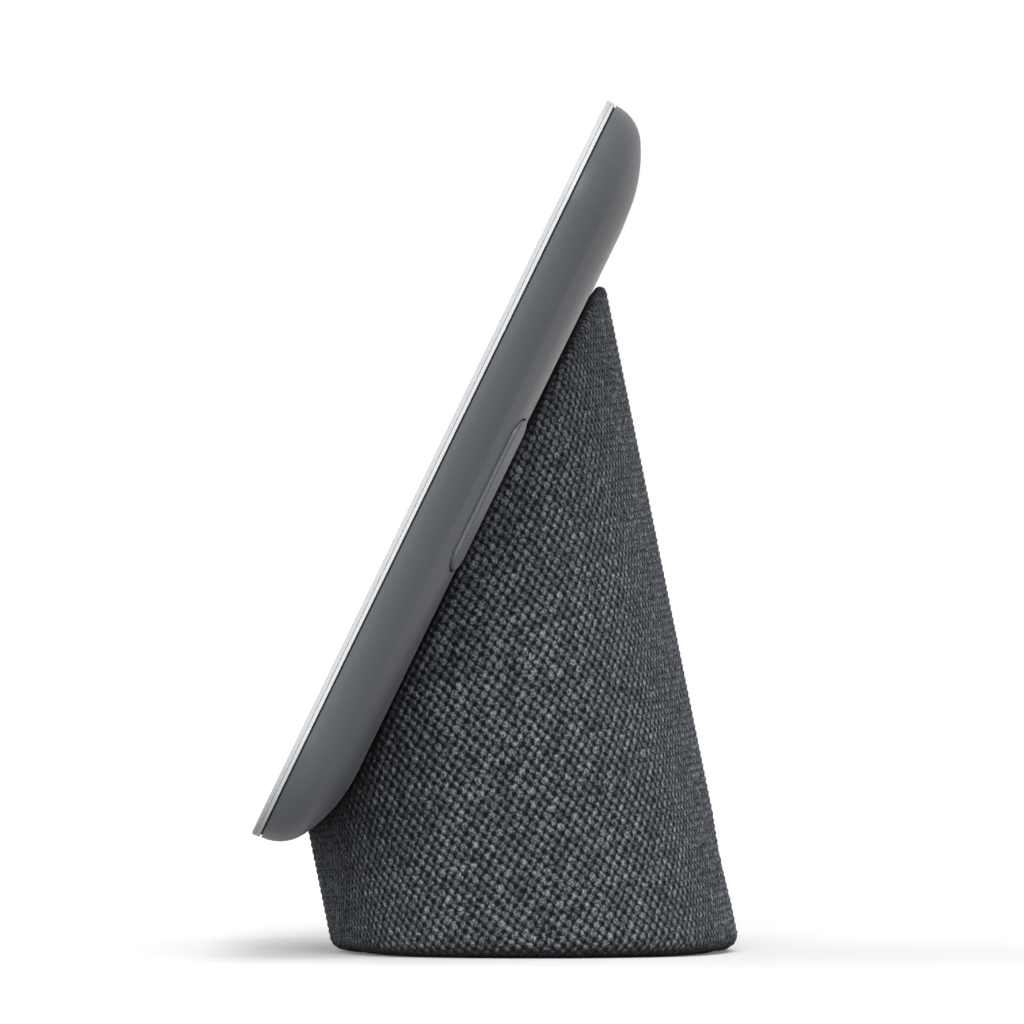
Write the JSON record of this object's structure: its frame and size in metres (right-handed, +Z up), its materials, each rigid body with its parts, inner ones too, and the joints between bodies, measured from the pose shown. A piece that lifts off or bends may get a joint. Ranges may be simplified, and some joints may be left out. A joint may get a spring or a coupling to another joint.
{
  "type": "smart display",
  "caption": "Touch-screen smart display leaning back on a fabric-covered oval speaker base, with a volume rocker on the rear edge and a microphone slider on the back.",
  "frame": {"origin": "on the floor below the middle of the bounding box, which is the face of the rubber foot", "axes": "+X to the right of a person facing the screen, +Y backwards away from that person, +Z up; the screen faces -Y and up"},
  "size_m": [0.1774, 0.0685, 0.1203],
  "materials": {
    "clear_glass": "polished",
    "white_bezel": "satin",
    "lens_tint": "gloss",
    "screen_black": "gloss",
    "screen_module": "satin",
    "foam_black": "matte",
    "flex_amber": "satin",
    "chassis_metal": "satin",
    "screw_steel": "satin",
    "pad_grey": "matte",
    "board_green": "satin",
    "can_steel": "satin",
    "chip_black": "matte",
    "connector_ivory": "matte",
    "antenna_copper": "satin",
    "cable_black": "satin",
    "housing_grey": "matte",
    "marker_orange": "matte",
    "knit_charcoal": "matte",
    "shell_plastic": "matte",
    "foot_rubber": "matte",
    "weight_steel": "matte",
    "speaker_plastic": "matte",
    "motor_steel": "satin",
    "magnet_nickel": "satin",
    "coil_copper": "satin",
    "cone_paper": "matte",
    "pin_brass": "polished"
  },
  "bodies": {
    "display": {"cover_glass": "clear_glass", "bezel_frame": "white_bezel", "sensor_lens": "lens_tint", "touch_sensor": "screen_black", "glass_gasket": "foam_black", "display_module": "screen_module", "display_flex": "flex_amber", "chassis_plate": "chassis_metal", "chassis_screws": "screw_steel", "thermal_pad": "pad_grey", "main_board": "board_green", "board_screws": "screw_steel", "shield_can": "can_steel", "board_chips": "chip_black", "board_connectors": "connector_ivory", "antennas": "antenna_copper", "antenna_cables": "cable_black", "mic_seals": "foam_black", "mic_boards": "board_green", "sensor_board": "board_green", "rear_housing": "housing_grey", "stand_screws": "screw_steel", "volume_switches": "board_green", "mic_switch": "board_green", "mute_marker": "marker_orange", "fabric_sleeve": "knit_charcoal", "base_shell": "shell_plastic", "bottom_plate": "shell_plastic", "rubber_foot": "foot_rubber", "base_screws": "screw_steel", "base_weights": "weight_steel", "speaker_baffle": "speaker_plastic", "speaker_box": "speaker_plastic", "baffle_screws": "screw_steel", "driver_seal": "foam_black", "driver_basket": "speaker_plastic", "driver_screws": "screw_steel", "driver_cup": "motor_steel", "driver_magnet": "magnet_nickel", "driver_pole": "motor_steel", "speaker_surround": "foam_black", "speaker_spider": "flex_amber", "driver_terminals": "board_green", "inlet_ring": "shell_plastic", "power_jack": "shell_plastic", "jack_pin": "pin_brass", "power_cable": "cable_black", "speaker_cable": "cable_black"},
    "volume_rocker": {"volume_rocker": "housing_grey"},
    "mic_slider": {"mic_slider": "housing_grey"},
    "speaker_cone": {"speaker_cone": "cone_paper", "dust_cap": "cone_paper", "voice_coil": "coil_copper"}
  },
  "joints": [
    {"name": "volume_rock", "type": "hinge", "parent": "display", "child": "volume_rocker", "pos_m": [0.07872, -0.00403, 0.06659], "axis": [0.976, -0.196, 0.0952], "range_deg": [-2, 2], "stiffness_Nm_per_rad": 0.2},
    {"name": "mic_slide", "type": "slide", "parent": "display", "child": "mic_slider", "axis": [1, 0, 0], "range_m": [0, 0.006]},
    {"name": "cone_travel", "type": "slide", "parent": "display", "child": "speaker_cone", "axis": [0, 0.9798, 0.1999], "range_m": [-0.001, 0.001], "stiffness_N_per_m": 900, "deforming": ["speaker_surround", "speaker_spider"]}
  ]
}
